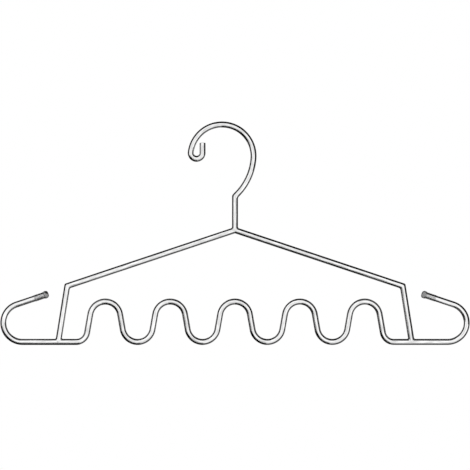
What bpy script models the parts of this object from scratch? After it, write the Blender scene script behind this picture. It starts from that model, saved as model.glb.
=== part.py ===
"""Hanging drying rack: a welded wire hanger with a wave rail, in metres with Z up.

Three bent steel rods, three weld beads and two soft end caps. The rods lie in the
XZ plane. Each rod is drawn from arcs that touch the straight stretches between them,
about the middle of the rail, and one empty carries the whole drawing to the rod seat.
Run it with: blender --background --python part.py
"""

import math

import bmesh
import bpy
from mathutils import Vector
from mathutils.geometry import intersect_point_line

# Rod
ROD_RADIUS = 0.00275
ROD_SIDES = 16
ROD_END_CHAMFER = 0.0004
BEND_STEP = math.radians(10)
SHARP_EDGE = math.radians(50)

# Clearances between pieces that touch on the real product
WELD_CLEARANCE = 0.0003
CAP_CLEARANCE = 0.00015
MERGE_DISTANCE = 0.00001

# Wave rail, from its middle outwards. All radii are to the rod's centre line.
CREST_PAIRS = 2
WAVE_HEIGHT = 0.0361
CREST_RADIUS = 0.0135
TROUGH_RADIUS = 0.0135
WAVE_FOOT_RADIUS = 0.0100
FLANK_LEAN = math.radians(10)
WAVE_FOOT_TO_LEG = 0.0159
LEG_TO_END_HOOK = 0.0320
END_HOOK_RADIUS = 0.0172
TIP_RISE = math.radians(18.5)
TIP_LENGTH = 0.0266

# Shoulder wire
LEG_LEAN_RUN = 0.0080
LEG_HEIGHT = 0.0500
SHOULDER_RISE = 0.0500
SHOULDER_BEND_RADIUS = 0.0040

# Top hook
HOOK_OFFSET = 0.0116
HOOK_RISE = 0.0663
HOOK_RADIUS = 0.0282
SWEEP_RADIUS = 0.0510
SWEEP_JOIN = math.radians(-4.4)
NECK_BEND_RADIUS = 0.0040
CURL_RADIUS = 0.0053
CURL_START = math.radians(173)
CURL_TIP_LENGTH = 0.0090

# Weld beads
BEAD_RADIUS = 0.0010
BEAD_STATIONS = 24
BEAD_SIDES = 8
SEAM_HALVINGS = 24

# Soft end caps
CAP_WALL = 0.0004
CAP_GRIP = 0.0095
CAP_END_LENGTH = 0.0037
CAP_END_ROUND = 0.0018
CAP_SWELL = 0.0002
CAP_SWELL_RUN = 0.0010
CAP_SIDES = 24

# Finishes: colour, metallic, roughness
BRIGHT_STEEL = ("bright_steel", (0.78, 0.78, 0.79), 1.0, 0.16)
WELD_STEEL = ("weld_steel", (0.66, 0.66, 0.67), 1.0, 0.30)
SOFT_CAP = ("soft_cap", (0.55, 0.56, 0.57), 0.0, 0.45)

# Places that follow from the sizes above
FLANK_REACH = math.cos(FLANK_LEAN)
FLANK_DROP = 1 - math.sin(FLANK_LEAN)


def flank_length(upper_radius, lower_radius):
    """Length of the straight between a crest and the arc below it."""
    return (WAVE_HEIGHT - (upper_radius + lower_radius) * FLANK_DROP) / FLANK_REACH


def flank_run(upper_radius, lower_radius):
    """Distance along X from a crest's middle to the middle of the arc below it."""
    straight = flank_length(upper_radius, lower_radius)
    return (upper_radius + lower_radius) * FLANK_REACH + straight * math.sin(FLANK_LEAN)


HALF_PITCH = flank_run(CREST_RADIUS, TROUGH_RADIUS)
LAST_CREST_X = 2 * CREST_PAIRS * HALF_PITCH
WAVE_FOOT_X = LAST_CREST_X + flank_run(CREST_RADIUS, WAVE_FOOT_RADIUS)
LEG_FOOT_X = WAVE_FOOT_X + WAVE_FOOT_TO_LEG
END_HOOK_X = LEG_FOOT_X + LEG_TO_END_HOOK
SHOULDER_X = LEG_FOOT_X - LEG_LEAN_RUN
APEX_HEIGHT = LEG_HEIGHT + SHOULDER_RISE
HOOK_CENTRE = Vector((-HOOK_OFFSET, APEX_HEIGHT + HOOK_RISE))
ROD_SEAT = HOOK_CENTRE + Vector((0, HOOK_RADIUS - ROD_RADIUS))


def polar(radius, angle):
    """A step of the given length in the drawing plane."""
    return Vector((radius * math.cos(angle), radius * math.sin(angle)))


def arc(centre, radius, start, end):
    """Points along an arc of the drawing plane, from one angle to another."""
    steps = max(1, math.ceil(abs(end - start) / BEND_STEP))
    step = (end - start) / steps
    return [centre + polar(radius, start + step * i) for i in range(steps + 1)]


def touching_centre(centre, radius, angle, next_radius):
    """Centre of an arc that takes over from another one at the given angle."""
    return centre + polar(radius - next_radius, angle)


def mirrored(points):
    """The same points on the other side of the middle, in the other order."""
    return [Vector((-p.x, p.y)) for p in reversed(points)]


def wave_points():
    """Half of the wave, from the middle crest's top to the foot of the last flank."""
    quarter = math.radians(90)
    half = math.radians(180)
    crest_height = WAVE_HEIGHT - CREST_RADIUS
    points = arc(Vector((0, crest_height)), CREST_RADIUS, quarter, FLANK_LEAN)
    for pair in range(CREST_PAIRS):
        trough = Vector(((2 * pair + 1) * HALF_PITCH, TROUGH_RADIUS))
        crest = Vector(((2 * pair + 2) * HALF_PITCH, crest_height))
        points += arc(trough, TROUGH_RADIUS, half + FLANK_LEAN, 2 * half - FLANK_LEAN)
        points += arc(crest, CREST_RADIUS, half - FLANK_LEAN, FLANK_LEAN)
    foot = Vector((WAVE_FOOT_X, WAVE_FOOT_RADIUS))
    return points + arc(foot, WAVE_FOOT_RADIUS, half + FLANK_LEAN, half + quarter)


def end_hook_points():
    """The right end hook, from the rail to the rod's end inside its cap."""
    quarter = math.radians(90)
    centre = Vector((END_HOOK_X, END_HOOK_RADIUS))
    points = arc(centre, END_HOOK_RADIUS, -quarter, quarter - TIP_RISE)
    return points + [points[-1] + polar(TIP_LENGTH, math.radians(180) - TIP_RISE)]


def rail_path():
    """The whole rail from the left end to the right end."""
    right = wave_points() + end_hook_points()
    return mirrored(right) + right[1:]


def rounded_corner(before, corner, after, radius):
    """Arc of the given radius that rounds one corner of an outline."""
    back = (before - corner).normalized()
    on = (after - corner).normalized()
    half_angle = back.angle(on) / 2
    inwards = (back + on).normalized()
    centre = corner + inwards * (radius / math.sin(half_angle))
    start = corner + back * (radius / math.tan(half_angle)) - centre
    end = corner + on * (radius / math.tan(half_angle)) - centre
    sweep = start.angle_signed(end)
    first = math.atan2(start.y, start.x)
    return arc(centre, radius, first, first - sweep)


def shoulder_path():
    """The shoulder wire from the left foot over the apex to the right foot."""
    corners = [
        Vector((-LEG_FOOT_X, 0)),
        Vector((-SHOULDER_X, LEG_HEIGHT)),
        Vector((0, APEX_HEIGHT)),
        Vector((SHOULDER_X, LEG_HEIGHT)),
        Vector((LEG_FOOT_X, 0)),
    ]
    points = [corners[0]]
    for before, corner, after in zip(corners, corners[1:], corners[2:]):
        points += rounded_corner(before, corner, after, SHOULDER_BEND_RADIUS)
    return points + [corners[-1]]


def hook_path():
    """The top hook from the neck's foot on the apex to the free end of the curl."""
    half = math.radians(180)
    sweep = touching_centre(HOOK_CENTRE, HOOK_RADIUS, SWEEP_JOIN, SWEEP_RADIUS)
    across = NECK_BEND_RADIUS - sweep.x
    drop = math.sqrt((SWEEP_RADIUS + NECK_BEND_RADIUS) ** 2 - across**2)
    bend = Vector((NECK_BEND_RADIUS, sweep.y - drop))
    to_sweep = math.atan2(sweep.y - bend.y, sweep.x - bend.x)
    curl = touching_centre(HOOK_CENTRE, HOOK_RADIUS, CURL_START, CURL_RADIUS)
    points = [Vector((0, APEX_HEIGHT))]
    points += arc(bend, NECK_BEND_RADIUS, half, to_sweep)
    points += arc(sweep, SWEEP_RADIUS, to_sweep - half, SWEEP_JOIN)[1:]
    points += arc(HOOK_CENTRE, HOOK_RADIUS, SWEEP_JOIN, CURL_START)[1:]
    points += arc(curl, CURL_RADIUS, CURL_START, 2 * half)[1:]
    return points + [points[-1] + Vector((0, CURL_TIP_LENGTH))]


def clear_scene():
    """Remove whatever the scene holds before the model is made."""
    for thing in list(bpy.data.objects):
        bpy.data.objects.remove(thing, do_unlink=True)


def material(finish):
    """The Principled material of one finish, made once."""
    name, colour, metallic, roughness = finish
    found = bpy.data.materials.get(name)
    if found:
        return found
    made = bpy.data.materials.new(name)
    made.use_nodes = True
    shader = made.node_tree.nodes["Principled BSDF"]
    shader.inputs["Base Color"].default_value = (*colour, 1)
    shader.inputs["Metallic"].default_value = metallic
    shader.inputs["Roughness"].default_value = roughness
    return made


def dress(mesh, finish):
    """Give a mesh its finish, with its round sides smooth and its ends crisp."""
    mesh.materials.append(material(finish))
    mesh.shade_smooth()
    mesh.set_sharp_from_angle(angle=SHARP_EDGE)


def add_object(name, mesh, frame, finish=None):
    """Put a mesh into the scene under the hanger's frame."""
    made = bpy.data.objects.new(name, mesh)
    made.parent = frame
    bpy.context.scene.collection.objects.link(made)
    if finish:
        dress(mesh, finish)
    return made


def curve_mesh(name, stations, radius, sides, closed=False):
    """Round tube along stations, each a place in space and a share of the radius."""
    curve = bpy.data.curves.new(name, "CURVE")
    curve.dimensions = "3D"
    curve.bevel_depth = radius
    curve.bevel_resolution = sides // 2 - 2
    curve.use_fill_caps = not closed
    spline = curve.splines.new("POLY")
    spline.use_cyclic_u = closed
    spline.points.add(len(stations) - 1)
    for point, (place, share) in zip(spline.points, stations):
        point.co = (*place, 1)
        point.radius = share
    guide = bpy.data.objects.new(name, curve)
    mesh = bpy.data.meshes.new_from_object(guide)
    bpy.data.objects.remove(guide)
    bpy.data.curves.remove(curve)
    return mesh


def in_space(place):
    """A point or direction of the drawing plane as one in space."""
    return Vector((place.x, 0, place.y))


def rod_mesh(name, path, radius=ROD_RADIUS, end_chamfer=0):
    """Round rod along a path of the drawing plane, its last end chamfered if asked."""
    stations = [(in_space(p), 1) for p in path]
    if end_chamfer:
        back = in_space(path[-2] - path[-1]).normalized() * end_chamfer
        stations.insert(-1, (stations[-1][0] + back, 1))
        stations[-1] = (stations[-1][0], 1 - end_chamfer / radius)
    return curve_mesh(name, stations, radius, ROD_SIDES)


def add_rod(name, path, frame, end_chamfer=0):
    """One bent rod of the hanger."""
    mesh = rod_mesh(name, path, end_chamfer=end_chamfer)
    return add_object(name, mesh, frame, BRIGHT_STEEL)


def add_clearance(name, path, frame):
    """A rod grown by the weld clearance, which only cuts the pieces welded to it."""
    mesh = rod_mesh(name, path, ROD_RADIUS + WELD_CLEARANCE)
    cutter = add_object(name, mesh, frame)
    cutter.hide_render = True
    cutter.display_type = "WIRE"
    return cutter


def cut_clear(piece, *cutters):
    """Cut a piece clear of the rods it is welded to."""
    for cutter in cutters:
        cut = piece.modifiers.new(cutter.name, "BOOLEAN")
        cut.operation = "DIFFERENCE"
        cut.solver = "EXACT"
        cut.object = cutter


def distance_to_path(point, path):
    """Shortest distance from a point in space to a rod's centre line."""
    nearest = math.inf
    for start, end in zip(path, path[1:]):
        foot, share = intersect_point_line(point, start, end)
        if share < 0:
            foot = start
        if share > 1:
            foot = end
        nearest = min(nearest, (point - foot).length)
    return nearest


def seam_place(start, direction, path):
    """Where a line along the standing rod's surface meets the rod below it."""
    low = 0
    high = 2 * (ROD_RADIUS + WELD_CLEARANCE)
    for _ in range(SEAM_HALVINGS):
        middle = (low + high) / 2
        inside = distance_to_path(start + direction * middle, path) < ROD_RADIUS + WELD_CLEARANCE
        low, high = (middle, high) if inside else (low, middle)
    return start + direction * high


def add_bead(name, foot, direction, path, frame, cutters):
    """Weld bead round the foot of one rod, along the edge where it stands on another."""
    across = Vector((0, 1, 0))
    axis = in_space(direction).normalized()
    side = across.cross(axis)
    below = [in_space(p) for p in path]
    seam = []
    for station in range(BEAD_STATIONS):
        turn = math.radians(360) * station / BEAD_STATIONS
        out = side * math.cos(turn) + across * math.sin(turn)
        seam.append((seam_place(in_space(foot) + out * ROD_RADIUS, axis, below), 1))
    mesh = curve_mesh(name, seam, BEAD_RADIUS, BEAD_SIDES, closed=True)
    bead = add_object(name, mesh, frame, WELD_STEEL)
    cut_clear(bead, *cutters)


def cap_profile():
    """Section of a soft cap: distance from the rod's axis, and along it from its end."""
    bore = ROD_RADIUS + CAP_CLEARANCE
    outside = bore + CAP_WALL
    rim = outside + CAP_SWELL
    end = CAP_CLEARANCE + CAP_END_LENGTH
    corner = Vector((rim - CAP_END_ROUND, end - CAP_END_ROUND))
    return [
        Vector((0, CAP_CLEARANCE)),
        Vector((bore, CAP_CLEARANCE)),
        Vector((bore, -CAP_GRIP)),
        Vector((outside, -CAP_GRIP)),
        Vector((outside, -CAP_SWELL_RUN)),
        Vector((rim, 0)),
        *arc(corner, CAP_END_ROUND, 0, math.radians(90)),
        Vector((0, end)),
    ]


def cap_mesh():
    """Soft cap with a blind bore, turned about the rod's axis."""
    shape = bmesh.new()
    rim = [shape.verts.new((p.x, 0, p.y)) for p in cap_profile()]
    edges = [shape.edges.new(pair) for pair in zip(rim, rim[1:])]
    bmesh.ops.spin(
        shape,
        geom=rim + edges,
        cent=(0, 0, 0),
        axis=(0, 0, 1),
        angle=math.radians(360),
        steps=CAP_SIDES,
        use_merge=True,
    )
    bmesh.ops.remove_doubles(shape, verts=shape.verts, dist=MERGE_DISTANCE)
    bmesh.ops.recalc_face_normals(shape, faces=shape.faces)
    mesh = bpy.data.meshes.new("tip_cap")
    shape.to_mesh(mesh)
    shape.free()
    return mesh


def build():
    """Make every piece of the hanger."""
    clear_scene()
    frame = bpy.data.objects.new("hanger_frame", None)
    frame.location = -in_space(ROD_SEAT)
    bpy.context.scene.collection.objects.link(frame)

    rail = rail_path()
    shoulder = shoulder_path()
    hook = hook_path()
    rail_clearance = add_clearance("rail_clearance", rail, frame)
    shoulder_clearance = add_clearance("shoulder_clearance", shoulder, frame)
    hook_clearance = add_clearance("hook_clearance", hook, frame)

    add_rod("wave_rail", rail, frame)
    cut_clear(add_rod("shoulder_wire", shoulder, frame), rail_clearance)
    hook_wire = add_rod("hook_wire", hook, frame, ROD_END_CHAMFER)
    cut_clear(hook_wire, shoulder_clearance)

    neck = hook[1] - hook[0]
    add_bead("neck_weld", hook[0], neck, shoulder, frame, (hook_clearance, shoulder_clearance))
    legs = {"left": shoulder[:2], "right": shoulder[:-3:-1]}
    for side, (foot, above) in legs.items():
        cutters = (shoulder_clearance, rail_clearance)
        add_bead(f"{side}_leg_weld", foot, above - foot, rail, frame, cutters)

    tips = {"left": rail[:2], "right": rail[:-3:-1]}
    cap = cap_mesh()
    dress(cap, SOFT_CAP)
    for side, (end, before) in tips.items():
        tip_cap = add_object(f"{side}_tip_cap", cap, frame)
        tip_cap.location = in_space(end)
        tip_cap.rotation_euler = in_space(end - before).to_track_quat("Z", "Y").to_euler()


build()
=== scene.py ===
"""Looks of the hanging drying rack, built round its packed parts.

The hanger is three polished steel wires, three welds and two soft vinyl caps. Each wire
is made as a wire bender makes it: a round ring is fed straight on or bent about a
centre, and every point keeps the place that it had on the straight wire, so that the
drawing lines of the steel follow the bends. Lengths are in metres, with Z up, and the
hanger lies in the XZ plane.
"""

import math

import bmesh
import bpy
from mathutils import Matrix, Vector
from mathutils.geometry import intersect_point_line


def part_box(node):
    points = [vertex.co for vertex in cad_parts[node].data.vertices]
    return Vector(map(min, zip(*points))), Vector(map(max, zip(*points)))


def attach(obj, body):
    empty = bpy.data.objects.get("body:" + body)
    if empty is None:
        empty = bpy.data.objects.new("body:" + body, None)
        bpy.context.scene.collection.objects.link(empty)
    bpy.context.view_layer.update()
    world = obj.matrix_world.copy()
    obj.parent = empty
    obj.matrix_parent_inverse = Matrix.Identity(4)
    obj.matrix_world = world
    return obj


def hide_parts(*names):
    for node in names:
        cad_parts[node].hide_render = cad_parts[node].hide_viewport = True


bl_info = {
    "name": "Wave Rail Hanger",
    "version": (1, 0, 0),
    "blender": (4, 5, 0),
    "location": "3D View > Sidebar > Hanger",
    "description": "Makes a steel wire hanger with a wave rail, its finishes and its studio",
    "category": "Add Mesh",
}

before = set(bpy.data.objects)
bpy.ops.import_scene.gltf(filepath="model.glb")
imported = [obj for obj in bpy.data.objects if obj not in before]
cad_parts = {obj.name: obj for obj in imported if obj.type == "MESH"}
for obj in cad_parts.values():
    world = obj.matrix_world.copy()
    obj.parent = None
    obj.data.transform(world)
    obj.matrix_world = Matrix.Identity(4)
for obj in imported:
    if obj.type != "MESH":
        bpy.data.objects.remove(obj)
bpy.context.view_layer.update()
RAIL_LOW, RAIL_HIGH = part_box("wave_rail")
WIRE_LOW, WIRE_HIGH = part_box("shoulder_wire")
BODY = "root"

QUARTER = math.radians(90)
HALF = math.radians(180)
FULL = math.radians(360)
MM = 0.001
DRAWN_PLACE = "drawn_place"
FINISHES_MADE = "hanger_materials"
MERGE_DISTANCE = 0.01 * MM
# Faces that meet at a larger angle than this keep a hard edge between them.
SHARP_EDGE = math.radians(40)
CARD_STEP = math.radians(5)
# How far from a weld the other wire is followed, in wire radii, and how often the search
# for their seam is halved.
SEAM_REACH = 4
SEAM_HALVINGS = 24
# In millimetres, as the lens is.
SENSOR_WIDTH = 36
NOISE_ROUGHNESS = 0.55
# Sockets of the Mix node for colours, which share their names with those for numbers.
MIX_FIRST, MIX_SECOND, MIX_RESULT = 6, 7, 2


def length(name, description, default):
    """Property for a length in metres."""
    return bpy.props.FloatProperty(
        name=name, description=description, default=default, min=0, precision=5, unit="LENGTH"
    )


def angle(name, description, degrees):
    """Property for an angle."""
    return bpy.props.FloatProperty(
        name=name, description=description, default=math.radians(degrees), subtype="ANGLE"
    )


def share(name, description, default):
    """Property for a share from 0 to 1."""
    return bpy.props.FloatProperty(
        name=name, description=description, default=default, min=0, max=1, subtype="FACTOR"
    )


def linear(code):
    """Linear colour of an sRGB hex value such as #C8C9CB."""
    parts = [int(code[i : i + 2], 16) / 255 for i in (1, 3, 5)]
    return [p / 12.92 if p <= 0.04045 else ((p + 0.055) / 1.055) ** 2.4 for p in parts]


def colour(name, description, code):
    """Property for a colour, given as an sRGB hex value."""
    return bpy.props.FloatVectorProperty(
        name=name, description=description, default=linear(code), min=0, max=1, subtype="COLOR"
    )


def count(name, description, default):
    """Property for a whole number."""
    return bpy.props.IntProperty(name=name, description=description, default=default, min=1)


class WireSettings(bpy.types.PropertyGroup):
    """Sizes that all three wires share."""

    radius: length("Radius", "Half of the wire's thickness", (WIRE_HIGH.y - WIRE_LOW.y) / 2)
    sides: count("Sides", "Faces round the wire", 36)
    bend_step: angle("Bend step", "Turn of the wire from one ring to the next", 3)
    fold_stretch: length("Fold stretch", "Straight kept on each side of a fold", 0.0035)
    fold_round: length("Fold rounding", "How far a fold's rounding reaches", 0.0011)
    fold_steps: count("Fold steps", "Faces along the rounding of a fold", 6)
    end_round: length("End rounding", "Rounding of the wire's cut ends", 0.0004)
    end_steps: count("End steps", "Faces along the rounding of a cut end", 3)
    end_stretch: length("End stretch", "Straight between a cut end and the ring before it", 0.001)


class RailSettings(bpy.types.PropertyGroup):
    """Sizes of the wave rail, from its middle outwards, to the wire's centre line."""

    crest_pairs: count("Crest pairs", "Crests on each side of the middle one", 2)
    wave_height: length("Wave height", "From the troughs to the crests", 0.0361)
    crest_radius: length("Crest radius", "Bend at each crest", 0.0135)
    trough_radius: length("Trough radius", "Bend at each trough", 0.0135)
    foot_radius: length("Foot radius", "Bend where the wave runs out", 0.0100)
    flank_lean: angle("Flank lean", "Lean of the flanks from upright", 10)
    foot_to_leg: length("Foot to leg", "Straight between wave and leg", 0.0159)
    leg_to_hook: length("Leg to end hook", "Straight between leg and end hook", 0.0320)
    hook_radius: length("End hook radius", "Bend of the end hooks", 0.0172)
    tip_rise: angle("Tip rise", "Lean of the tips from level", 18.5)
    tip_length: length("Tip length", "Straight at each tip", 0.0266)


class ShoulderSettings(bpy.types.PropertyGroup):
    """Sizes of the shoulder wire, to the wire's centre line."""

    leg_lean_run: length("Leg lean", "How far a leg's top stands in from its foot", 0.0080)
    leg_height: length("Leg height", "From the rail to the shoulder's corners", 0.0500)
    rise: length("Shoulder rise", "From the corners to the apex", 0.0500)
    apex_bend: length("Apex bend", "Bend at the apex", 0.0040)


class TopHookSettings(bpy.types.PropertyGroup):
    """Sizes of the top hook, to the wire's centre line."""

    offset: length("Offset", "How far the hook's centre stands left of the neck", 0.0116)
    rise: length("Rise", "Hook centre above the apex", 0.0663)
    radius: length("Radius", "Bend of the hook", 0.0282)
    sweep_radius: length("Sweep radius", "Gentle bend between neck and hook", 0.0510)
    sweep_join: angle("Sweep join", "Where the sweep turns into the hook", -4.4)
    curl_radius: length("Curl radius", "Bend of the curl at the free end", 0.0053)
    curl_start: angle("Curl start", "Where the hook turns into the curl", 173)
    curl_tip: length("Curl tip", "Straight at the free end", 0.0090)


class WeldSettings(bpy.types.PropertyGroup):
    """Sizes of the welds."""

    side_reach: length("Side reach", "Reach of a weld up and along the wires", 0.0011)
    front_reach: length("Front reach", "Reach of a weld in front and behind", 0.0005)
    crown: length("Crown", "How far a weld's curve is drawn out of the seam", 0.0002)
    ripple: length("Ripple", "Height of the waves left by welding", 0.00004)
    ripples: count("Ripples", "Waves round one weld", 18)
    root: length("Root", "How deep a weld's foot sits in the wires", 0.0005)
    sink: length("Sink", "How deep a weld's edges sit in the wires", 0.00002)
    stations: count("Stations", "Faces round a weld", 72)
    steps: count("Steps", "Faces across a weld", 8)


class CapSettings(bpy.types.PropertyGroup):
    """Sizes of the soft caps."""

    wall: length("Wall", "Thickness of the sleeve", 0.0002)
    gap: length("Gap", "Play between sleeve and wire", 0.00003)
    grip: length("Grip", "Length of the sleeve on the wire", 0.0095)
    end_length: length("End length", "Length of the solid end", 0.0037)
    end_radius: length("End radius", "Half of the solid end's thickness", 0.0034)
    shoulder_run: length("Shoulder run", "Run from the sleeve to the solid end", 0.0009)
    end_round: length("End rounding", "Rounding of the solid end", 0.0024)
    lip_round: length("Lip rounding", "Rounding of the sleeve's rim", 0.00008)
    ring_step: length("Ring step", "Gap between the sleeve's ends and the next ring", 0.0003)
    round_steps: count("Round steps", "Faces along each rounding", 6)
    sides: count("Sides", "Faces round a cap", 48)


class FinishSettings(bpy.types.PropertyGroup):
    """Colours and reflections of the finishes."""

    steel: colour("Steel", "Polished stainless steel", "#E0E0E0")
    steel_dull: colour("Steel, dull", "The same where the polish is thinner", "#B4B4B4")
    steel_edge: share("Steel, edge", "How much the steel reflects near its edges", 0.5)
    weld: colour("Weld", "Fused steel of the welds", "#C8C8C8")
    weld_dull: colour("Weld, dull", "The same where its grain is duller", "#B6B6B6")
    vinyl: colour("Vinyl", "Milky clear vinyl of the caps", "#E6E6E6")
    vinyl_dull: colour("Vinyl, dull", "The same where it is cloudier", "#DCDCDC")
    vinyl_deep: colour("Vinyl, deep", "What the vinyl's depth lets through", "#BCBCBC")
    vinyl_density: bpy.props.FloatProperty(
        name="Vinyl density",
        description="How fast the vinyl's depth tints the light, per metre",
        default=340,
        min=0,
    )


class StudioSettings(bpy.types.PropertyGroup):
    """Camera, light and ground."""

    lens: bpy.props.FloatProperty(
        name="Lens", description="Focal length in millimetres", default=135, unit="CAMERA"
    )
    view_width: length("View width", "Width that the picture takes in", 0.42045)
    view_rise: length("View rise", "Picture's middle above the rail", 0.09565)
    floor_drop: length("Floor drop", "Floor below the rail", 1.2000)
    floor_radius: length("Floor radius", "Half of the floor's width", 2.2000)
    floor_sides: count("Floor sides", "Straight edges round the floor", 64)
    floor: colour("Floor", "Pale floor", "#F2F2F2")
    floor_white: share("Floor white", "Plain white mixed into the floor's middle", 0.6)
    fade_start: share("Fade start", "Where on the radius the floor starts to whiten", 0.3)
    fade_end: share("Fade end", "Where on the radius the floor is plain white", 0.9)
    world_light: share("World light", "Strength of the world where it only lights", 0.65)
    lamp_size: length("Lamp size", "Side of the square soft lamp", 9)
    lamp_distance: length("Lamp distance", "Lamp in front of the hanger", 1.9)
    lamp_power: bpy.props.FloatProperty(
        name="Lamp power", description="Power of the lamp in watts", default=130, min=0
    )


# Cards round the hanger, out of the picture. The dark ones draw the edges of the bright
# steel, and the pale one behind the camera dims its middle a little. Each is a line from
# one ring to another, given as radius and place along the view from the picture's middle,
# spun about the view axis from one angle to another, with 0 to the right and 90 up. The
# last number is how bright the card looks.
CARDS = (
    ("flag_right", ((1.0, -0.86), (1.0, 0.35)), -10, 104, 0.01),
    ("flag_upper_left", ((1.0, -0.62), (1.0, 0.35)), 104, 202, 0.02),
    ("flag_lower_left", ((1.0, -0.88), (1.0, 2.4)), 202, 270, 0.005),
    ("flag_lower_right", ((1.0, -0.54), (1.0, 0.35)), 270, 350, 0.10),
    ("flag_top_rear", ((1.02, 0.30), (1.02, 2.4)), 55, 125, 0.01),
    ("flag_rear", ((1.04, 0.30), (1.04, 1.0)), -95, 205, 0.06),
    ("flag_low_front", ((0.94, -1.8), (2.4, -1.8)), 211, 269, 0.005),
    ("flag_left_front", ((0.90, -1.8), (2.4, -1.8)), 193, 211, 0.40),
    ("camera_card", ((0, -1.8), (0.2, -1.8)), 0, 360, 0.9),
)

GROUPS = {
    "hanger_wire": WireSettings,
    "hanger_rail": RailSettings,
    "hanger_shoulder": ShoulderSettings,
    "hanger_hook": TopHookSettings,
    "hanger_weld": WeldSettings,
    "hanger_cap": CapSettings,
    "hanger_finish": FinishSettings,
    "hanger_studio": StudioSettings,
}


# Routes of the wires. A move is a length of wire and the turn that it takes.


def polar(size, heading):
    """A step of the given size in the drawing plane."""
    return Vector((size * math.cos(heading), size * math.sin(heading)))


def feed(size):
    """Move that goes straight on."""
    return size, 0


def bend(radius, turn):
    """Move that bends the wire; a turn above 0 goes to the left."""
    return radius * abs(turn), turn


def fold(turn):
    """Move that folds the wire over a sharp edge."""
    return 0, turn


def centre_of(place, heading, move):
    """Centre of a bend."""
    size, turn = move
    return place + polar(size / turn, heading + QUARTER)


def after(place, heading, move):
    """Place and heading at the end of a move."""
    size, turn = move
    if not turn:
        return place + polar(size, heading), heading
    centre = centre_of(place, heading, move)
    return centre - polar(size / turn, heading + turn + QUARTER), heading + turn


def end_of(place, heading, moves):
    """Place and heading at the end of a whole route."""
    for move in moves:
        place, heading = after(place, heading, move)
    return place, heading


def mirrored(place):
    """The same place on the other side of the hanger."""
    return Vector((-place.x, place.y))


def from_other_end(place, heading, moves):
    """A symmetric wire, given from its middle on, as start, heading and all its moves."""
    end, end_heading = end_of(place, heading, moves)
    return mirrored(end), -end_heading, [*reversed(moves), *moves]


def rail_half(context):
    """The rail's middle crest, its moves on to the right leg, and those on to the tip."""
    rail = context.scene.hanger_rail
    upright = QUARTER - rail.flank_lean

    def flank(lower_radius):
        drop = (rail.crest_radius + lower_radius) * (1 - math.sin(rail.flank_lean))
        return feed((rail.wave_height - drop) / math.cos(rail.flank_lean))

    pair = [flank(rail.trough_radius), bend(rail.trough_radius, 2 * upright)]
    pair += [flank(rail.trough_radius), bend(rail.crest_radius, -2 * upright)]
    to_leg = [bend(rail.crest_radius, -upright), *pair * rail.crest_pairs]
    to_leg += [flank(rail.foot_radius), bend(rail.foot_radius, upright)]
    to_leg += [feed(rail.foot_to_leg)]
    end_hook = bend(rail.hook_radius, HALF - rail.tip_rise)
    to_tip = [feed(rail.leg_to_hook), end_hook, feed(rail.tip_length)]
    return Vector((0, rail.wave_height)), to_leg, to_tip


def rail_route(context):
    """The wave rail, from the left tip to the right one."""
    crest, to_leg, to_tip = rail_half(context)
    return from_other_end(crest, 0, [*to_leg, *to_tip])


def leg_foot(context):
    """Where the right leg meets the rail."""
    crest, to_leg, _ = rail_half(context)
    return end_of(crest, 0, to_leg)[0]


def shoulder_route(context):
    """The shoulder wire, from the left foot over the apex to the right foot."""
    sizes = context.scene.hanger_shoulder
    foot = leg_foot(context)
    corner = foot + Vector((-sizes.leg_lean_run, sizes.leg_height))
    apex = Vector((0, corner.y + sizes.rise))
    slope = math.atan2(apex.y - corner.y, corner.x)
    steep = math.atan2(corner.y - foot.y, foot.x - corner.x)
    radius = sizes.apex_bend
    start = apex - Vector((0, radius / math.cos(slope) - radius))
    beside = context.scene.hanger_wire.fold_stretch
    moves = [
        bend(radius, -slope),
        feed((apex - corner).length - radius * math.tan(slope) - beside),
        feed(beside),
        fold(slope - steep),
        feed(beside),
        feed((corner - foot).length - beside),
    ]
    return from_other_end(start, 0, moves)


def apex_height(context):
    """Height of the shoulder wire's drawn apex, where the neck's centre line starts."""
    sizes = context.scene.hanger_shoulder
    return leg_foot(context).y + sizes.leg_height + sizes.rise


def hook_route(context):
    """The top hook, from the neck's foot to the free end of the curl."""
    sizes = context.scene.hanger_hook
    foot = Vector((0, apex_height(context)))
    hook_centre = foot + Vector((-sizes.offset, sizes.rise))
    to_sweep = polar(sizes.radius - sizes.sweep_radius, sizes.sweep_join)
    sweep_centre = hook_centre + to_sweep
    # The neck is folded so that the short straight beyond the fold touches the sweep.
    beside = context.scene.hanger_wire.fold_stretch
    fold_from_centre = math.hypot(sizes.sweep_radius, beside)
    below_level = math.acos(-sweep_centre.x / fold_from_centre)
    turned = below_level - math.atan(beside / sizes.sweep_radius)
    neck = sweep_centre.y - fold_from_centre * math.sin(below_level) - foot.y
    moves = [
        feed(neck - beside),
        feed(beside),
        fold(-turned),
        feed(beside),
        bend(sizes.sweep_radius, sizes.sweep_join + turned),
        bend(sizes.radius, sizes.curl_start - sizes.sweep_join),
        bend(sizes.curl_radius, FULL - sizes.curl_start),
        feed(sizes.curl_tip),
    ]
    return foot, QUARTER, moves


def in_space(place):
    """A place of the drawing plane as one in space, with the rail where its part is."""
    middle = (RAIL_LOW.x + RAIL_HIGH.x) / 2
    radius = (RAIL_HIGH.y - RAIL_LOW.y) / 2
    return Vector((middle + place.x, 0, RAIL_LOW.z + radius + place.y))


def across_space(step):
    """A direction of the drawing plane as one in space."""
    return Vector((step.x, 0, step.y))


# Meshes


def finish_mesh(shape, name):
    """Turn a bmesh into an object with smooth faces, and free it."""
    bmesh.ops.recalc_face_normals(shape, faces=shape.faces)
    for face in shape.faces:
        face.smooth = True
    mesh = bpy.data.meshes.new(name)
    shape.to_mesh(mesh)
    shape.free()
    mesh.set_sharp_from_angle(angle=SHARP_EDGE)
    made = bpy.data.objects.new(name, mesh)
    bpy.context.scene.collection.objects.link(made)
    return made


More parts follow.
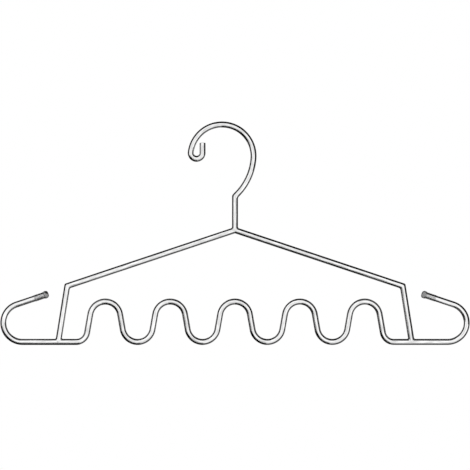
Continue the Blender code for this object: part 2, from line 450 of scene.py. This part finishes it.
def verts_of(things):
    """The vertices among a list of bmesh parts."""
    return [thing for thing in things if isinstance(thing, bmesh.types.BMVert)]


def ring_edges(verts):
    """The edges between vertices of one ring."""
    ring = set(verts)
    found = dict.fromkeys(edge for vert in verts for edge in vert.link_edges)
    return [edge for edge in found if set(edge.verts) <= ring]


def standing(place, heading):
    """Matrix that stands a ring or a turned shape across a wire at a place."""
    turn = across_space(polar(1, heading)).to_track_quat("Z", "Y")
    return Matrix.Translation(in_space(place)) @ turn.to_matrix().to_4x4()


def round_off(shape, edges, reach, steps):
    """Round edges over the given reach to both sides."""
    bmesh.ops.bevel(
        shape,
        geom=edges,
        offset=reach,
        segments=steps,
        profile=0.5,
        affect="EDGES",
        material=-1,
    )


def close_end(shape, edges, settings):
    """Fill one end of a wire and round its edge."""
    made = bmesh.ops.contextual_create(shape, geom=edges)["faces"]
    round_off(shape, list(made[0].edges), settings.end_round, settings.end_steps)


def stand_at(ring, place, heading):
    """Push a ring on along the wire until it stands across it at a place."""
    ahead = across_space(polar(1, heading))
    for vert in ring:
        vert.co += ahead * (in_space(place) - vert.co).dot(ahead)


def lean_over(ring, place, heading, turn):
    """Lean a ring to the plane halfway through a fold."""
    ahead = across_space(polar(math.tan(turn / 2), heading))
    aside = across_space(polar(1, heading + QUARTER))
    for vert in ring:
        vert.co += ahead * (in_space(place) - vert.co).dot(aside)


def with_end_rings(moves, stretch):
    """The moves with a ring near both ends, so that the shading of an end stays there."""
    (first, _), *middle, (last, _) = moves
    end = feed(stretch)
    return [end, feed(first - stretch), *middle, feed(last - stretch), end]


def carried_on(shape, ring, edges, place, heading, move, step):
    """The ring at the end of a move: spun there for a bend, or else pushed straight on."""
    size, turn = move
    if not turn:
        ahead = verts_of(bmesh.ops.extrude_edge_only(shape, edges=edges)["geom"])
        stand_at(ahead, place + polar(size, heading), heading)
        return ahead
    spun = bmesh.ops.spin(
        shape,
        geom=[*ring, *edges],
        cent=in_space(centre_of(place, heading, move)),
        axis=(0, -1, 0),
        angle=turn,
        steps=math.ceil(abs(turn) / step),
    )
    return verts_of(spun["geom_last"])


def share_gone(point, place, heading, move):
    """Share of a move that lies before a new point: all of a straight, or part of a bend."""
    _, turn = move
    if not turn:
        return 1
    centre = centre_of(place, heading, move)
    spoke = point - in_space(centre)
    turned = math.atan2(spoke.z, spoke.x) - math.atan2(*(place - centre).yx)
    return math.copysign(1, turn) * turned % FULL / abs(turn)


def bent_wire(name, settings, route):
    """Round wire that is fed, bent and folded along its route."""
    place, heading, moves = route
    moves = with_end_rings(moves, settings.end_stretch)
    shape = bmesh.new()
    drawn = shape.verts.layers.float_vector.new(DRAWN_PLACE)
    circle = bmesh.ops.create_circle(shape, segments=settings.sides, radius=settings.radius)
    ring = circle["verts"]
    for vert in ring:
        vert[drawn] = vert.co
    bmesh.ops.transform(shape, matrix=standing(place, heading), verts=ring)
    first = edges = ring_edges(ring)
    travelled = 0
    folds = []
    for move in moves:
        size, turn = move
        if not size:
            lean_over(ring, place, heading, turn)
            folds += edges
            heading += turn
            continue
        known = len(shape.verts)
        ring = carried_on(shape, ring, edges, place, heading, move, settings.bend_step)
        edges = ring_edges(ring)
        shape.verts.ensure_lookup_table()
        for vert in shape.verts[known:]:
            gone = size * share_gone(vert.co, place, heading, move)
            vert[drawn] = Vector((*vert[drawn].xy, travelled + gone))
        travelled += size
        place, heading = after(place, heading, move)
    close_end(shape, first, settings)
    close_end(shape, edges, settings)
    round_off(shape, folds, settings.fold_round, settings.fold_steps)
    return finish_mesh(shape, name)


def stations_of(route, step):
    """Places along a route, close enough together to measure distances to it."""
    place, heading, moves = route
    places = [in_space(place)]
    for size, turn in moves:
        if not size:
            heading += turn
            continue
        steps = max(1, math.ceil(abs(turn) / step))
        for _ in range(steps):
            place, heading = after(place, heading, (size / steps, turn / steps))
            places.append(in_space(place))
    return places


def nearest_on(point, places):
    """The point of a wire's centre line nearest to a point in space."""
    found = None
    for start, end in zip(places, places[1:]):
        foot, along = intersect_point_line(point, start, end)
        if along < 0:
            foot = start
        elif along > 1:
            foot = end
        if found is None or (point - foot).length < (point - found).length:
            found = foot
    return found


def near_stations(places, foot, reach):
    """The stretch of a route that passes near a foot."""
    near = [
        number
        for number, pair in enumerate(zip(places, places[1:]))
        if (nearest_on(foot, pair) - foot).length < reach
    ]
    return places[near[0] : near[-1] + 2]


def seam_over(skin, axis, places, radius):
    """Where a standing wire's skin, followed up from its foot, leaves the other wire."""
    low, high = 0, 2 * radius
    for _ in range(SEAM_HALVINGS):
        middle = (low + high) / 2
        point = skin + axis * middle
        inside = (point - nearest_on(point, places)).length < radius
        low, high = (middle, high) if inside else (low, middle)
    return skin + axis * high


def weld_curve(turn, foot, axis, places, radius, weld):
    """Upper edge, crown, lower edge and root of a weld's section at one turn round it."""
    back = Vector((0, 1, 0))
    out = back.cross(axis) * math.cos(turn) + back * math.sin(turn)
    seam = seam_over(foot + out * radius, axis, places, radius)
    up = (seam - nearest_on(seam, places)).normalized()
    outwards = (out + up).normalized()
    sideways = math.cos(turn) ** 2
    reach = weld.front_reach + (weld.side_reach - weld.front_reach) * sideways
    reach += weld.ripple * math.sin(turn * weld.ripples)
    away = (out - axis) - up * (out - axis).dot(up)
    along = seam + away.normalized() * reach
    core = nearest_on(along, places)
    on_lower = core + (along - core).normalized() * (radius - weld.sink)
    on_upper = seam + axis * reach - out * weld.sink
    return on_upper, seam + outwards * weld.crown, on_lower, seam - outwards * weld.root


def weld_fillet(name, context, foot, heading, route):
    """Hollow weld round the foot of a wire that stands on another one.

    It starts as a tube of rings. Their vertices then go to their places in the weld's
    section: all but the last ring on the curve between its edges, and the last at its root.
    """
    wire = context.scene.hanger_wire
    weld = context.scene.hanger_weld
    foot = in_space(foot)
    places = stations_of(route, wire.bend_step)
    places = near_stations(places, foot, SEAM_REACH * wire.radius)
    axis = across_space(polar(1, heading))
    shape = bmesh.new()
    step_layer = shape.verts.layers.int.new("step")
    drawn = shape.verts.layers.float_vector.new(DRAWN_PLACE)
    ring = bmesh.ops.create_circle(shape, segments=weld.stations, radius=1)["verts"]
    first = edges = ring_edges(ring)
    for step in range(1, weld.steps + 2):
        made = bmesh.ops.extrude_edge_only(shape, edges=edges)["geom"]
        ring = verts_of(made)
        edges = ring_edges(ring)
        for vert in ring:
            vert[step_layer] = step
    bmesh.ops.bridge_loops(shape, edges=[*first, *edges])
    curves = {}
    for vert in shape.verts:
        turn = math.atan2(vert.co.y, vert.co.x)
        station = round(math.degrees(turn), 3)
        if station not in curves:
            curves[station] = weld_curve(turn, foot, axis, places, wire.radius, weld)
        upper, crown, lower, root = curves[station]
        way = vert[step_layer] / weld.steps
        vert[drawn] = Vector((turn * wire.radius, way * weld.side_reach, 0))
        if way > 1:
            vert.co = root
        else:
            rest = 1 - way
            vert.co = upper * rest**2 + crown * 2 * way * rest + lower * way**2
    return finish_mesh(shape, name)


def vinyl_cap(name, context, place, heading):
    """Soft cap: a thin sleeve on the wire with a solid rounded end."""
    wire = context.scene.hanger_wire
    cap = context.scene.hanger_cap
    bore = wire.radius + cap.gap
    outside = bore + cap.wall
    lip = -cap.grip
    shoulder = -cap.shoulder_run
    section = [
        (0, cap.gap),
        (bore, cap.gap),
        (bore, lip + cap.ring_step),
        (bore, lip),
        (outside, lip),
        (outside, lip + cap.ring_step),
        (outside, shoulder - cap.ring_step),
        (outside, shoulder),
        (cap.end_radius, 0),
        (cap.end_radius, cap.end_length),
        (0, cap.end_length),
    ]
    shape = bmesh.new()
    rim = [shape.verts.new((across, 0, along)) for across, along in section]
    lines = [shape.edges.new(pair) for pair in zip(rim, rim[1:])]
    bmesh.ops.spin(
        shape,
        geom=[*rim, *lines],
        cent=(0, 0, 0),
        axis=(0, 0, 1),
        angle=FULL,
        steps=cap.sides,
        use_merge=True,
    )
    bmesh.ops.remove_doubles(shape, verts=shape.verts, dist=MERGE_DISTANCE)
    bmesh.ops.recalc_face_normals(shape, faces=shape.faces)
    roundings = {
        (outside, lip): cap.lip_round,
        (bore, lip): cap.lip_round,
        (cap.end_radius, 0): cap.shoulder_run / 2,
        (cap.end_radius, cap.end_length): cap.end_round,
    }
    for (across, along), rounding in roundings.items():
        loop = []
        for edge in shape.edges:
            ends = [(vert.co.xy.length, vert.co.z) for vert in edge.verts]
            if all(math.dist(end, (across, along)) < MERGE_DISTANCE for end in ends):
                loop.append(edge)
        round_off(shape, loop, rounding, cap.round_steps)
    bmesh.ops.transform(shape, matrix=standing(place, heading), verts=shape.verts)
    return finish_mesh(shape, name)


# Finishes


def add_node(tree, kind, inputs=(), **settings):
    """Add one node with its settings, and its inputs as values or as links."""
    made = tree.nodes.new(kind)
    for name, value in settings.items():
        setattr(made, name, value)
    for name, value in dict(inputs).items():
        if isinstance(value, bpy.types.NodeSocket):
            tree.links.new(value, made.inputs[name])
        else:
            made.inputs[name].default_value = value
    return made


def new_finish(name):
    """Empty material, its node tree and its output node."""
    made = bpy.data.materials.new(name)
    made.use_nodes = True
    made.node_tree.nodes.clear()
    return made, made.node_tree, made.node_tree.nodes.new("ShaderNodeOutputMaterial")


def opaque(rgb):
    """A colour with full opacity."""
    return (*rgb, 1)


def streaks(tree, place, across, along, detail):
    """Noise with spots of a size in metres, across the wire and along it, or along Z."""
    scaled = add_node(
        tree,
        "ShaderNodeMapping",
        {"Vector": place, "Scale": (1 / across, 1 / across, 1 / along)},
    )
    noise = add_node(
        tree,
        "ShaderNodeTexNoise",
        {
            "Vector": scaled.outputs["Vector"],
            "Scale": 1,
            "Detail": detail,
            "Roughness": NOISE_ROUGHNESS,
        },
    )
    return noise.outputs["Fac"]


def ranged(tree, value, low=0, high=1, start=0.3, end=0.7):
    """A noise value, mostly between start and end, spread from low to high."""
    spread = add_node(
        tree,
        "ShaderNodeMapRange",
        {"Value": value, "From Min": start, "From Max": end, "To Min": low, "To Max": high},
    )
    return spread.outputs["Result"]


def mixed(tree, value, first, second):
    """Mix of two colours."""
    mix = add_node(tree, "ShaderNodeMix", data_type="RGBA")
    tree.links.new(value, mix.inputs["Factor"])
    mix.inputs[MIX_FIRST].default_value = opaque(first)
    mix.inputs[MIX_SECOND].default_value = opaque(second)
    return mix.outputs[MIX_RESULT]


def polished_steel(context):
    """Stainless steel wire, drawn through a die and then polished.

    It gives the eye a bright mirror that is white where it faces the light, black
    where it faces the dark and a little dimmer towards its edges. Fine lines from the
    die run along the wire, and greyer streaks about 9 mm long, where the polish is
    thinner. The lines are drawn 0.35 mm apart and the streaks 0.9 mm wide, coarser than
    the real 0.05 mm, so that they show.
    """
    finish = context.scene.hanger_finish
    material, tree, output = new_finish("stainless_steel_drawn_and_polished")
    place = add_node(tree, "ShaderNodeAttribute", attribute_name=DRAWN_PLACE)
    place = place.outputs["Vector"]
    lines = streaks(tree, place, across=0.35 * MM, along=22 * MM, detail=2)
    thinner = streaks(tree, place, across=0.9 * MM, along=9 * MM, detail=2)
    dullness = ranged(tree, thinner, start=0.32, end=0.68)
    bump = add_node(
        tree, "ShaderNodeBump", {"Height": lines, "Strength": 0.25, "Distance": 0.01 * MM}
    )
    shader = add_node(
        tree,
        "ShaderNodeBsdfPrincipled",
        {
            "Base Color": mixed(tree, dullness, finish.steel, finish.steel_dull),
            "Metallic": 1,
            "Roughness": ranged(tree, lines, low=0.06, high=0.11),
            "Specular Tint": opaque([finish.steel_edge] * 3),
            "Normal": bump.outputs["Normal"],
        },
    )
    tree.links.new(shader.outputs["BSDF"], output.inputs["Surface"])
    return material


def fused_steel(context):
    """Steel of a resistance weld, cleaned and polished with the wire.

    It gives the eye a softer grey than the wire, with small waves where it set.
    """
    finish = context.scene.hanger_finish
    material, tree, output = new_finish("stainless_steel_weld_polished")
    place = add_node(tree, "ShaderNodeTexCoord").outputs["Object"]
    grain = streaks(tree, place, across=0.5 * MM, along=0.5 * MM, detail=3)
    bump = add_node(
        tree, "ShaderNodeBump", {"Height": grain, "Strength": 0.4, "Distance": 0.05 * MM}
    )
    shader = add_node(
        tree,
        "ShaderNodeBsdfPrincipled",
        {
            "Base Color": mixed(tree, ranged(tree, grain), finish.weld, finish.weld_dull),
            "Metallic": 1,
            "Roughness": ranged(tree, grain, low=0.2, high=0.32),
            "Normal": bump.outputs["Normal"],
        },
    )
    tree.links.new(shader.outputs["BSDF"], output.inputs["Surface"])
    return material


def milky_vinyl(context):
    """Soft vinyl, dip moulded and left milky clear.

    It gives the eye a thin grey skin with the wire's end showing through, and a
    cloudier solid end with a soft gloss.
    """
    finish = context.scene.hanger_finish
    material, tree, output = new_finish("soft_vinyl_moulded_milky")
    place = add_node(tree, "ShaderNodeTexCoord").outputs["Object"]
    clouds = streaks(tree, place, across=1.2 * MM, along=1.2 * MM, detail=3)
    bump = add_node(
        tree, "ShaderNodeBump", {"Height": clouds, "Strength": 0.1, "Distance": 0.03 * MM}
    )
    shader = add_node(
        tree,
        "ShaderNodeBsdfPrincipled",
        {
            "Base Color": mixed(tree, ranged(tree, clouds), finish.vinyl, finish.vinyl_dull),
            "Roughness": ranged(tree, clouds, low=0.06, high=0.12),
            "IOR": 1.53,
            "Transmission Weight": 0.97,
            "Normal": bump.outputs["Normal"],
        },
    )
    depth = add_node(
        tree,
        "ShaderNodeVolumeAbsorption",
        {"Color": opaque(finish.vinyl_deep), "Density": finish.vinyl_density},
    )
    tree.links.new(shader.outputs["BSDF"], output.inputs["Surface"])
    tree.links.new(depth.outputs["Volume"], output.inputs["Volume"])
    return material


def put_on(piece, material, node):
    """Give a piece its finish, hang it on the body and hide the part that it stands for."""
    piece.data.materials.append(material)
    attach(piece, BODY)
    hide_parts(node)


def made_once(context, maker):
    """The material of a maker, made the first time that it is asked for."""
    known = context.scene.get(FINISHES_MADE, {})
    name = known.get(maker.__name__)
    if name:
        return bpy.data.materials[name]
    material = maker(context)
    context.scene[FINISHES_MADE] = {**dict(known), maker.__name__: material.name}
    return material


# Pieces


class HANGER_OT_wave_rail(bpy.types.Operator):
    """Make the wave rail with its two end hooks"""

    bl_idname = "hanger.wave_rail"
    bl_label = "Wave rail"

    def execute(self, context):
        rail = bent_wire("polished_wave_rail", context.scene.hanger_wire, rail_route(context))
        steel = made_once(context, polished_steel)
        put_on(rail, steel, "wave_rail")
        return {"FINISHED"}


class HANGER_OT_shoulder_wire(bpy.types.Operator):
    """Make the shoulder wire with its two legs"""

    bl_idname = "hanger.shoulder_wire"
    bl_label = "Shoulder wire"

    def execute(self, context):
        route = shoulder_route(context)
        wire = bent_wire("polished_shoulder_wire", context.scene.hanger_wire, route)
        steel = made_once(context, polished_steel)
        put_on(wire, steel, "shoulder_wire")
        return {"FINISHED"}


class HANGER_OT_top_hook(bpy.types.Operator):
    """Make the top hook with its neck and curl"""

    bl_idname = "hanger.top_hook"
    bl_label = "Top hook"

    def execute(self, context):
        hook = bent_wire("polished_top_hook", context.scene.hanger_wire, hook_route(context))
        steel = made_once(context, polished_steel)
        put_on(hook, steel, "hook_wire")
        return {"FINISHED"}


class HANGER_OT_welds(bpy.types.Operator):
    """Make the welds at the neck and the legs"""

    bl_idname = "hanger.welds"
    bl_label = "Welds"

    def execute(self, context):
        steel = made_once(context, fused_steel)
        foot, heading, _ = hook_route(context)
        shoulder = shoulder_route(context)
        neck = weld_fillet("neck_weld_fillet", context, foot, heading, shoulder)
        put_on(neck, steel, "neck_weld")
        start, up, _ = shoulder
        rail = rail_route(context)
        for side, place, upwards in (
            ("left", start, up),
            ("right", mirrored(start), HALF - up),
        ):
            leg = weld_fillet(f"{side}_leg_weld_fillet", context, place, upwards, rail)
            put_on(leg, steel, f"{side}_leg_weld")
        return {"FINISHED"}


class HANGER_OT_tip_caps(bpy.types.Operator):
    """Make the soft caps on the rail's tips"""

    bl_idname = "hanger.tip_caps"
    bl_label = "Tip caps"

    def execute(self, context):
        vinyl = made_once(context, milky_vinyl)
        start, onwards, _ = rail_route(context)
        for side, place, outwards in (
            ("left", start, onwards + HALF),
            ("right", mirrored(start), -onwards),
        ):
            cap = vinyl_cap(f"{side}_vinyl_cap", context, place, outwards)
            put_on(cap, vinyl, f"{side}_tip_cap")
        return {"FINISHED"}


# Studio


def sector_card(name, hub, section, start, turn, material):
    """Card that curves round the view axis: a line from one ring to another, spun."""
    shape = bmesh.new()
    ends = [shape.verts.new((radius, ahead, 0)) for radius, ahead in section]
    line = shape.edges.new(ends)
    bmesh.ops.spin(
        shape,
        geom=[*ends, line],
        cent=(0, 0, 0),
        axis=(0, -1, 0),
        angle=turn,
        steps=math.ceil(abs(turn) / CARD_STEP),
        use_merge=math.isclose(turn, FULL),
    )
    aim = Matrix.Translation(hub) @ Matrix.Rotation(-start, 4, "Y")
    bmesh.ops.transform(shape, matrix=aim, verts=shape.verts)
    made = finish_mesh(shape, name)
    made.data.materials.append(material)
    return made


def unseen(card):
    """Show a card only to mirrors and clear pieces, so that it lights and shades nothing."""
    card.visible_camera = False
    card.visible_diffuse = False
    card.visible_shadow = False
    card.visible_volume_scatter = False


def seen_directly(tree):
    """1 for rays that come straight from the camera, a mirror or clear vinyl."""
    path = add_node(tree, "ShaderNodeLightPath")
    total = path.outputs["Is Camera Ray"]
    for ray in ("Is Glossy Ray", "Is Transmission Ray"):
        terms = {0: total, 1: path.outputs[ray]}
        added = add_node(tree, "ShaderNodeMath", terms, operation="ADD", use_clamp=True)
        total = added.outputs["Value"]
    return total


def card_finish(name, shade):
    """Card that glows evenly at its shade and is lit by nothing: a painted glow for the dark
    flags and the pale card behind the camera.
    """
    material, tree, output = new_finish(name)
    even = {"Color": opaque([shade] * 3), "Strength": 1}
    shader = add_node(tree, "ShaderNodeEmission", even)
    tree.links.new(shader.outputs["Emission"], output.inputs["Surface"])
    return material


def studio_floor_finish(studio):
    """Matt white floor that keeps the shadow and fades to plain white at its rim."""
    material, tree, output = new_finish("studio_floor_matt_white")
    place = add_node(tree, "ShaderNodeTexCoord").outputs["Object"]
    flat = add_node(
        tree, "ShaderNodeVectorMath", {0: place, 1: (1, 1, 0)}, operation="MULTIPLY"
    )
    far = add_node(
        tree, "ShaderNodeVectorMath", {0: flat.outputs["Vector"]}, operation="LENGTH"
    )
    rim = add_node(
        tree,
        "ShaderNodeMapRange",
        {
            "Value": far.outputs["Value"],
            "From Min": studio.floor_radius * studio.fade_start,
            "From Max": studio.floor_radius * studio.fade_end,
        },
        interpolation_type="SMOOTHSTEP",
    )
    even = add_node(
        tree,
        "ShaderNodeMapRange",
        {"Value": rim.outputs["Result"], "To Min": studio.floor_white, "To Max": 1},
    )
    bright = add_node(
        tree,
        "ShaderNodeMath",
        {0: seen_directly(tree), 1: even.outputs["Result"]},
        operation="MULTIPLY",
    )
    matt = add_node(tree, "ShaderNodeBsdfDiffuse", {"Color": opaque(studio.floor)})
    plain = add_node(
        tree, "ShaderNodeEmission", {"Color": opaque((1, 1, 1)), "Strength": 1}
    )
    top = add_node(
        tree,
        "ShaderNodeMixShader",
        {0: bright.outputs["Value"], 1: matt.outputs["BSDF"], 2: plain.outputs["Emission"]},
    )
    below = add_node(tree, "ShaderNodeBsdfTransparent")
    side = add_node(tree, "ShaderNodeNewGeometry").outputs["Backfacing"]
    whole = add_node(
        tree,
        "ShaderNodeMixShader",
        {0: side, 1: top.outputs["Shader"], 2: below.outputs["BSDF"]},
    )
    tree.links.new(whole.outputs["Shader"], output.inputs["Surface"])
    return material


def add_lamp(context, middle):
    """Soft square lamp in front of the hanger that the camera doesn't see."""
    studio = context.scene.hanger_studio
    data = bpy.data.lights.new("soft_front", "AREA")
    data.shape = "SQUARE"
    data.size = studio.lamp_size
    data.energy = studio.lamp_power
    lamp = bpy.data.objects.new("soft_front", data)
    lamp.location = middle - Vector((0, studio.lamp_distance, 0))
    lamp.rotation_euler = (QUARTER, 0, 0)
    lamp.visible_camera = False
    context.scene.collection.objects.link(lamp)


def add_camera(context, middle):
    """Camera square on to the hanger, at the photograph's distance and height."""
    studio = context.scene.hanger_studio
    data = bpy.data.cameras.new("photo_camera")
    data.lens = studio.lens
    data.sensor_width = SENSOR_WIDTH
    distance = studio.view_width * data.lens / data.sensor_width
    camera = bpy.data.objects.new("photo_camera", data)
    camera.location = middle - Vector((0, distance, 0))
    camera.rotation_euler = (QUARTER, 0, 0)
    context.scene.collection.objects.link(camera)
    context.scene.camera = camera


def white_world(context):
    """Even world: plain white where it is seen, and softer where it lights."""
    world = bpy.data.worlds.new("studio_world")
    world.use_nodes = True
    tree = world.node_tree
    tree.nodes.clear()
    studio = context.scene.hanger_studio
    strength = add_node(
        tree,
        "ShaderNodeMapRange",
        {"Value": seen_directly(tree), "To Min": studio.world_light, "To Max": 1},
    )
    sky = add_node(
        tree,
        "ShaderNodeBackground",
        {"Color": opaque((1, 1, 1)), "Strength": strength.outputs["Result"]},
    )
    output = add_node(tree, "ShaderNodeOutputWorld")
    tree.links.new(sky.outputs["Background"], output.inputs["Surface"])
    context.scene.world = world


class HANGER_OT_studio(bpy.types.Operator):
    """Make the camera, the lamp, the dark cards and the floor"""

    bl_idname = "hanger.studio"
    bl_label = "Studio"

    def execute(self, context):
        studio = context.scene.hanger_studio
        context.scene.view_settings.view_transform = "Standard"
        middle = in_space(Vector((0, studio.view_rise)))
        add_camera(context, middle)
        white_world(context)

        shape = bmesh.new()
        bmesh.ops.create_circle(
            shape, cap_ends=True, segments=studio.floor_sides, radius=studio.floor_radius
        )
        floor = finish_mesh(shape, "studio_floor")
        floor.location = in_space(Vector((0, -studio.floor_drop)))
        floor.data.materials.append(studio_floor_finish(studio))

        for name, section, start, end, shade in CARDS:
            start, end = math.radians(start), math.radians(end)
            # Each card gets a painted glow at its given shade instead of being lit.
            even_glow = card_finish(f"{name}_felt", shade)
            unseen(sector_card(name, middle, section, start, end - start, even_glow))
        add_lamp(context, middle)
        return {"FINISHED"}


class HANGER_PT_sidebar(bpy.types.Panel):
    """Sizes, colours and makers of the hanger"""

    bl_idname = "HANGER_PT_sidebar"
    bl_label = "Wave rail hanger"
    bl_space_type = "VIEW_3D"
    bl_region_type = "UI"
    bl_category = "Hanger"

    def draw(self, context):
        for maker in OPERATORS:
            self.layout.operator(maker.bl_idname)
        for name, group in GROUPS.items():
            box = self.layout.box()
            box.label(text=group.__doc__)
            for setting in group.__annotations__:
                box.prop(getattr(context.scene, name), setting)


OPERATORS = (
    HANGER_OT_studio,
    HANGER_OT_wave_rail,
    HANGER_OT_shoulder_wire,
    HANGER_OT_top_hook,
    HANGER_OT_welds,
    HANGER_OT_tip_caps,
)
CLASSES = (*GROUPS.values(), *OPERATORS, HANGER_PT_sidebar)


def register():
    """Register every class and hang the settings on the scene."""
    for item in CLASSES:
        bpy.utils.register_class(item)
    for name, group in GROUPS.items():
        setattr(bpy.types.Scene, name, bpy.props.PointerProperty(type=group))


def unregister():
    """Take the settings and classes away again."""
    for name in GROUPS:
        delattr(bpy.types.Scene, name)
    for item in reversed(CLASSES):
        bpy.utils.unregister_class(item)


def main():
    """Make everything in order."""
    register()
    bpy.ops.hanger.studio()
    bpy.ops.hanger.wave_rail()
    bpy.ops.hanger.shoulder_wire()
    bpy.ops.hanger.top_hook()
    bpy.ops.hanger.welds()
    bpy.ops.hanger.tip_caps()


if __name__ == "__main__":
    main()
